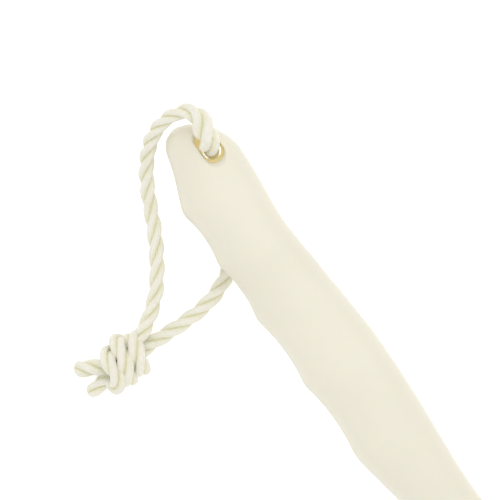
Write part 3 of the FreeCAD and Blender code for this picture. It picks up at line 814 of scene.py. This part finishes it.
links.new(resample.outputs["Curve"], moved.inputs["Geometry"])
links.new(scaled.outputs[0], moved.inputs["Offset"])
section = add(nodes, "GeometryNodeCurvePrimitiveCircle", mode="RADIUS", Resolution=5)
links.new(given.outputs["Fibre radius"], section.inputs["Radius"])
tube = add(nodes, "GeometryNodeCurveToMesh", Fill_Caps=True)
links.new(moved.outputs["Geometry"], tube.inputs["Curve"])
links.new(section.outputs["Curve"], tube.inputs["Profile Curve"])
soft = add(nodes, "GeometryNodeSetShadeSmooth")
links.new(tube.outputs["Mesh"], soft.inputs["Geometry"])
whole = add(nodes, "GeometryNodeRealizeInstances")
links.new(soft.outputs["Geometry"], whole.inputs["Geometry"])
dressed = add(nodes, "GeometryNodeSetMaterial")
links.new(whole.outputs["Geometry"], dressed.inputs["Geometry"])
links.new(given.outputs["Material"], dressed.inputs["Material"])
links.new(dressed.outputs["Geometry"], result.inputs["Geometry"])

bed = oval_block(
    "fibre_bed",
    [(11.5, -21.7), (11.4, -21.75)],
    mat_straw,
    lump=mat_lump,
    lump_scale=mat_lump_scale,
    rings=mat_rings,
    crown=mat_crown,
)
bm = bmesh.new()
bm.from_mesh(bed.data)
bmesh.ops.delete(bm, geom=[f for f in bm.faces if f.normal.y > -0.5], context="FACES")
bm.to_mesh(bed.data)
bm.free()
fibres = grown(
    "loofah_fibres",
    bed,
    tree,
    {
        "Density": 190000.0,
        "Fibre length": 0.021,
        "Fibre radius": 0.00034,
        "Waviness": 0.0075,
        "Seed": 3,
        "Material": loofah_straw,
    },
)
bpy.data.objects.remove(bed)


def inside_by(place):
    """How far a place lies inside the tray's outline, in millimetres."""
    along, up = place.x * 1000 - anchor_x, place.z * 1000 - anchor_z
    x = along * level + up * rise + anchor_along - head_along
    z = -along * rise + up * level
    past = abs(x) - end_middle
    if past > 0 and abs(z) < math.tan(lean) * past:
        return end_radius - math.hypot(past, z)
    return side_radius - math.hypot(x, abs(z) + side_middle)


tape_cover = 7.4
bm = bmesh.new()
bm.from_mesh(fibres.data)
covered = [v for v in bm.verts if inside_by(v.co) < tape_cover]
bmesh.ops.delete(bm, geom=covered, context="VERTS")
rims = [e for e in bm.edges if e.is_boundary]
bmesh.ops.holes_fill(bm, edges=rims, sides=0)
bm.to_mesh(fibres.data)
bm.free()
for piece in (mat, fibres):
    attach(piece, "scrubber")
    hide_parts("loofah_pad")


# ---------------------------------------------------------------- edge binding
# A strip of cream cotton twill tape, folded over the pad's edge and sewn through all
# layers. The tape pulls in a little at every stitch.

tape_cotton, nodes, links, shader = finish(
    "tape cotton", (0.70, 0.66, 0.56), 0.85, Sheen_Weight=0.3, Sheen_Roughness=0.5
)
uv = coordinates(nodes, "UV")
twill = add(
    nodes, "ShaderNodeTexWave", wave_type="BANDS", bands_direction="DIAGONAL", Scale=520.0, Distortion=0.4
)
links.new(uv, twill.inputs["Vector"])
fuzz = noise(nodes, links, coordinates(nodes), 1300.0, 3.0)
woven = ramp(nodes, links, twill.outputs["Fac"], [(0.0, (0.60, 0.555, 0.44)), (1.0, (0.74, 0.705, 0.61))])
fuzzed = remap(nodes, links, fuzz, 0.3, 0.7, 0.92, 1.05)
links.new(mix(nodes, links, 1.0, woven, fuzzed, "MULTIPLY"), shader.inputs["Base Color"])
bumped(nodes, links, shader, twill.outputs["Fac"], 0.00025, 0.8)

stitch_pitch = 3.1
tape_section = [
    (8.6, -23.35),
    (7.4, -23.55),
    (6.2, -23.45),
    (5.0, -23.5),
    (3.6, -23.3),
    (2.2, -22.6),
    (1.1, -21.3),
    (0.7, -19.6),
    (0.6, -17.4),
    (0.6, -15.0),
    (0.7, -13.0),
    (1.2, -11.3),
    (2.4, -10.35),
    (4.0, -10.0),
    (6.0, -9.95),
    (8.6, -10.0),
]
count = 480
ring, around_length = oval_ring(count)
verts, faces, runs = [], [], []
across_length = [0.0]
for (i0, y0), (i1, y1) in zip(tape_section, tape_section[1:]):
    across_length.append(across_length[-1] + math.hypot(i1 - i0, y1 - y0))
for k in range(count + 1):
    x, z, out_x, out_z = ring[k % count]
    run = around_length * k / count
    pull = 0.5 + 0.5 * math.cos(math.tau * run / stitch_pitch)
    drift = field.noise(Vector((x, z, 3.0)) * 0.07)
    for (inset, y), over in zip(tape_section, across_length):
        close = math.exp(-((over - 2.4) ** 2) / 3.0)
        sink = 0.35 * pull * close + 0.25 * drift * math.exp(-over / 6)
        inset_here = inset + 0.30 * drift * math.exp(-(over**2) / 30)
        verts.append(at_head(x - inset_here * out_x, y + sink, z - inset_here * out_z))
        runs.append((run / 1000, over / 1000))
wide = len(tape_section)
for k in range(count):
    for j in range(wide - 1):
        a = k * wide + j
        faces.append((a, a + 1, a + 1 + wide, a + wide))
tape = piece_from("binding_tape", verts, faces, tape_cotton)
uv = tape.data.uv_layers.new(name="UVMap")
for loop in tape.data.loops:
    uv.data[loop.index].uv = runs[loop.vertex_index]
bm = bmesh.new()
bm.from_mesh(tape.data)
bmesh.ops.remove_doubles(bm, verts=bm.verts, dist=1e-7)
bmesh.ops.recalc_face_normals(bm, faces=bm.faces)
bm.to_mesh(tape.data)
bm.free()
wall = tape.modifiers.new("thickness", "SOLIDIFY")
wall.thickness = 0.0007
wall.offset = 1.0
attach(tape, "scrubber")
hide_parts("edge_binding")


# ---------------------------------------------------------------- stitches
# White polyester lockstitch in one row near the tape's inner edge: a stitch of 2.5 mm
# about every 3 mm. Each stitch thins out at its ends, where it goes into the cloth.

thread_white, nodes, links, shader = finish("thread", (0.86, 0.85, 0.80), 0.5, Sheen_Weight=0.2)
plies = noise(nodes, links, coordinates(nodes), 2600.0, 2.0)
plied = ramp(nodes, links, plies, [(0.35, (0.80, 0.78, 0.71)), (0.65, (0.90, 0.89, 0.85))])
links.new(plied, shader.inputs["Base Color"])
bumped(nodes, links, shader, plies, 0.00008, 0.7)

seam_inset, seam_out = 6.2, -24.4
seam = [at_head(x - seam_inset * out_x, seam_out, z - seam_inset * out_z) for x, z, out_x, out_z in ring]
seam_line = bpy.data.meshes.new("seam")
seam_line.from_pydata(seam, [(k, (k + 1) % count) for k in range(count)], [])
seam_piece = bpy.data.objects.new("seam", seam_line)
scene.collection.objects.link(seam_piece)
seam_share = 0.86
tree, nodes, links, given, result = geometry_tree(
    "stitch row",
    [
        ("Stitches", "NodeSocketInt", 90),
        ("Stitch length", "NodeSocketFloat", 0.0025),
        ("Thread radius", "NodeSocketFloat", 0.0003),
        ("Material", "NodeSocketMaterial", None),
    ],
)
as_curve = add(nodes, "GeometryNodeMeshToCurve")
links.new(given.outputs["Geometry"], as_curve.inputs["Mesh"])
spaced = add(nodes, "GeometryNodeResampleCurve", mode="COUNT")
links.new(as_curve.outputs["Curve"], spaced.inputs["Curve"])
links.new(given.outputs["Stitches"], spaced.inputs["Count"])
tangent = add(nodes, "GeometryNodeInputTangent")
aligned = add(nodes, "FunctionNodeAlignRotationToVector", axis="X")
links.new(tangent.outputs["Tangent"], aligned.inputs["Vector"])
bow = add(nodes, "GeometryNodeCurvePrimitiveLine", mode="DIRECTION", Direction=(1, 0, 0))
links.new(given.outputs["Stitch length"], bow.inputs["Length"])
fine = add(nodes, "GeometryNodeResampleCurve", mode="COUNT", Count=7)
links.new(bow.outputs["Curve"], fine.inputs["Curve"])
share = add(nodes, "GeometryNodeSplineParameter")
thick = add(nodes, "ShaderNodeFloatCurve")
points = thick.mapping.curves[0].points
points[0].location, points[-1].location = (0.0, 0.35), (1.0, 0.35)
for at in (0.2, 0.8):
    points.new(at, 1.0)
thick.mapping.update()
links.new(share.outputs["Factor"], thick.inputs["Value"])
fat = add(nodes, "GeometryNodeSetCurveRadius")
links.new(fine.outputs["Curve"], fat.inputs["Curve"])
links.new(thick.outputs["Value"], fat.inputs["Radius"])
row = add(nodes, "GeometryNodeInstanceOnPoints")
links.new(spaced.outputs["Curve"], row.inputs["Points"])
links.new(fat.outputs["Curve"], row.inputs["Instance"])
links.new(aligned.outputs["Rotation"], row.inputs["Rotation"])
real = add(nodes, "GeometryNodeRealizeInstances")
links.new(row.outputs["Instances"], real.inputs["Geometry"])
section = add(nodes, "GeometryNodeCurvePrimitiveCircle", mode="RADIUS", Resolution=8)
links.new(given.outputs["Thread radius"], section.inputs["Radius"])
tube = add(nodes, "GeometryNodeCurveToMesh", Fill_Caps=True)
links.new(real.outputs["Geometry"], tube.inputs["Curve"])
links.new(section.outputs["Curve"], tube.inputs["Profile Curve"])
soft = add(nodes, "GeometryNodeSetShadeSmooth")
links.new(tube.outputs["Mesh"], soft.inputs["Geometry"])
whole = add(nodes, "GeometryNodeRealizeInstances")
links.new(soft.outputs["Geometry"], whole.inputs["Geometry"])
dressed = add(nodes, "GeometryNodeSetMaterial")
links.new(whole.outputs["Geometry"], dressed.inputs["Geometry"])
links.new(given.outputs["Material"], dressed.inputs["Material"])
links.new(dressed.outputs["Geometry"], result.inputs["Geometry"])
stitches = grown(
    "stitch_row",
    seam_piece,
    tree,
    {
        "Stitches": round(around_length * seam_share / stitch_pitch),
        "Stitch length": 0.0025,
        "Thread radius": 0.0004,
        "Material": thread_white,
    },
)
bpy.data.objects.remove(seam_piece)
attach(stitches, "scrubber")
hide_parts("binding_thread")
